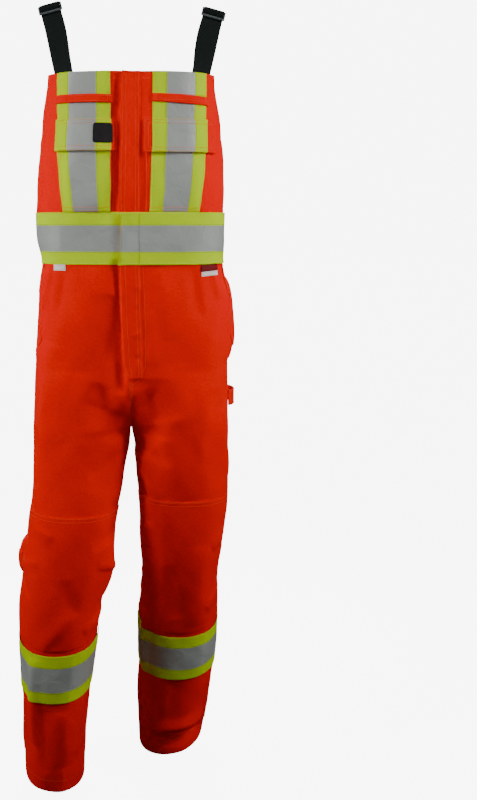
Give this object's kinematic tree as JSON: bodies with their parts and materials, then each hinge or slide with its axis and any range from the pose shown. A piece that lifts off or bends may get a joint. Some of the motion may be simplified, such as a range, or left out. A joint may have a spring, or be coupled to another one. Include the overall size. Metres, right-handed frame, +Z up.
{
  "type": "high-visibility bib overalls",
  "caption": "High-visibility bib overalls filled out as worn: square bib, adjustable shoulder straps, back cross, chest, back and leg pockets, waist and leg reflective bands, leg zips.",
  "frame": {"origin": "midway between the two shoulders, level with the underside of the straps where the wearer's shoulders carry them", "axes": "+Z up, -Y the front of the garment, +X towards the wearer's left"},
  "size_m": [0.4624, 0.3578, 1.6167],
  "materials": {
    "orange_cloth": "matte twill",
    "reflective_tape": "fluorescent yellow-green with a silver reflective stripe down the middle",
    "webbing": "matte woven webbing",
    "slider_plastic": "satin moulded",
    "zip_tape": "matte woven tape with a coil zip",
    "plain_patch": "plain woven patch",
    "white_tag": "plain woven tag",
    "red_tag": "plain woven tag"
  },
  "bodies": {
    "root": {"back_pocket_left": "orange_cloth", "back_pocket_right": "orange_cloth", "back_tape_over": "reflective_tape", "back_tape_under": "reflective_tape", "bib_back": "orange_cloth", "bib_front_left": "orange_cloth", "bib_front_right": "orange_cloth", "chest_pocket_left": "orange_cloth", "chest_pocket_right": "orange_cloth", "chest_tape_left": "reflective_tape", "chest_tape_right": "reflective_tape", "flap_patch": "plain_patch", "flap_tape_left": "reflective_tape", "flap_tape_right": "reflective_tape", "hammer_loop": "orange_cloth", "hip_welt_left": "orange_cloth", "hip_welt_right": "orange_cloth", "knee_patch_left": "orange_cloth", "knee_patch_right": "orange_cloth", "leg_back_left": "orange_cloth", "leg_back_right": "orange_cloth", "leg_front_left": "orange_cloth", "leg_front_right": "orange_cloth", "leg_tape_back_left": "reflective_tape", "leg_tape_back_right": "reflective_tape", "leg_tape_front_left": "reflective_tape", "leg_tape_front_right": "reflective_tape", "leg_zip_left": "zip_tape", "leg_zip_right": "zip_tape", "placket": "orange_cloth", "pocket_flap_left": "orange_cloth", "pocket_flap_right": "orange_cloth", "pocket_tape_left": "reflective_tape", "pocket_tape_right": "reflective_tape", "radio_loop_left": "orange_cloth", "radio_loop_right": "orange_cloth", "rule_pocket": "orange_cloth", "slider_left": "slider_plastic", "slider_right": "slider_plastic", "strap_left": "webbing", "strap_right": "webbing", "strap_turn_left": "webbing", "strap_turn_right": "webbing", "tag_left_lower": "white_tag", "tag_left_upper": "red_tag", "tag_right": "white_tag", "thigh_pocket": "orange_cloth", "waist_tape_back": "reflective_tape", "waist_tape_left": "reflective_tape", "waist_tape_right": "reflective_tape", "zip_flap_left": "orange_cloth", "zip_flap_right": "orange_cloth"}
  },
  "joints": []
}
